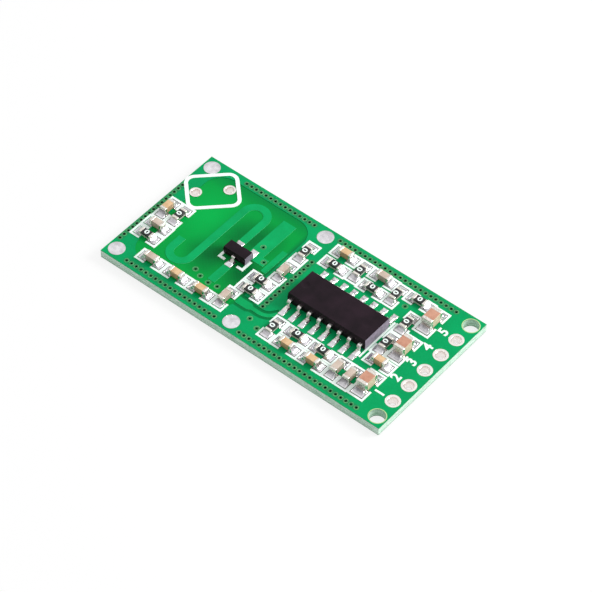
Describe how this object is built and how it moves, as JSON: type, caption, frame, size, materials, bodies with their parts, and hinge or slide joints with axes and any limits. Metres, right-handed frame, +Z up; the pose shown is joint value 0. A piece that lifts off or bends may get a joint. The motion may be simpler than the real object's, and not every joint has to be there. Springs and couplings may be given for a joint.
{
  "type": "microwave radar sensor module",
  "caption": "Rectangular circuit board with an etched S-shaped microwave antenna, a control chip, small surface-mount parts and a row of header holes, for sensing motion.",
  "frame": {"origin": "on the board's underside, under the centre of the board", "axes": "+X along the board to its header end, +Y across the board to the long edge beside the light cell's outline, +Z up out of the face that carries the parts"},
  "size_m": [0.036, 0.0174, 0.0025],
  "materials": {
    "masked_copper": "copper strip under green solder mask, glossy",
    "capacitor_ceramic": "tan fired ceramic",
    "end_cap": "tin-plated end, smooth",
    "solder_mask": "green solder mask over copper and laminate, glossy",
    "tin": "tinned copper, smooth",
    "moulding": "black moulded epoxy, fine matte grain",
    "lead": "tin-plated lead, smooth",
    "large_capacitor_ceramic": "brown fired ceramic",
    "resistor_coat": "black glaze over ceramic",
    "print": "white printed ink, matte",
    "solder": "bright tin solder, smooth"
  },
  "bodies": {
    "root": {"antenna_trace": "masked_copper", "bias_trace": "masked_copper", "capacitor_1": "capacitor_ceramic", "capacitor_10": "capacitor_ceramic", "capacitor_11": "capacitor_ceramic", "capacitor_12": "capacitor_ceramic", "capacitor_13": "capacitor_ceramic", "capacitor_14": "capacitor_ceramic", "capacitor_2": "capacitor_ceramic", "capacitor_3": "capacitor_ceramic", "capacitor_4": "capacitor_ceramic", "capacitor_5": "capacitor_ceramic", "capacitor_6": "capacitor_ceramic", "capacitor_7": "capacitor_ceramic", "capacitor_8": "capacitor_ceramic", "capacitor_9": "capacitor_ceramic", "capacitor_end_caps": "end_cap", "circuit_board": "solder_mask", "component_pads": "tin", "emitter_trace": "masked_copper", "header_hole_plating": "tin", "ic_body": "moulding", "ic_leads": "lead", "large_capacitor_1": "large_capacitor_ceramic", "large_capacitor_2": "large_capacitor_ceramic", "large_capacitor_3": "large_capacitor_ceramic", "large_capacitor_end_caps": "end_cap", "option_pads": "tin", "output_trace": "masked_copper", "photocell_hole_plating": "tin", "resistor_1": "resistor_coat", "resistor_10": "resistor_coat", "resistor_11": "resistor_coat", "resistor_12": "resistor_coat", "resistor_13": "resistor_coat", "resistor_14": "resistor_coat", "resistor_15": "resistor_coat", "resistor_2": "resistor_coat", "resistor_3": "resistor_coat", "resistor_4": "resistor_coat", "resistor_5": "resistor_coat", "resistor_6": "resistor_coat", "resistor_7": "resistor_coat", "resistor_8": "resistor_coat", "resistor_9": "resistor_coat", "resistor_end_caps": "end_cap", "silkscreen_top": "print", "solder_joints": "solder", "stub_trace": "masked_copper", "tinned_discs": "solder", "transistor_body": "moulding", "transistor_leads": "lead"}
  },
  "joints": []
}
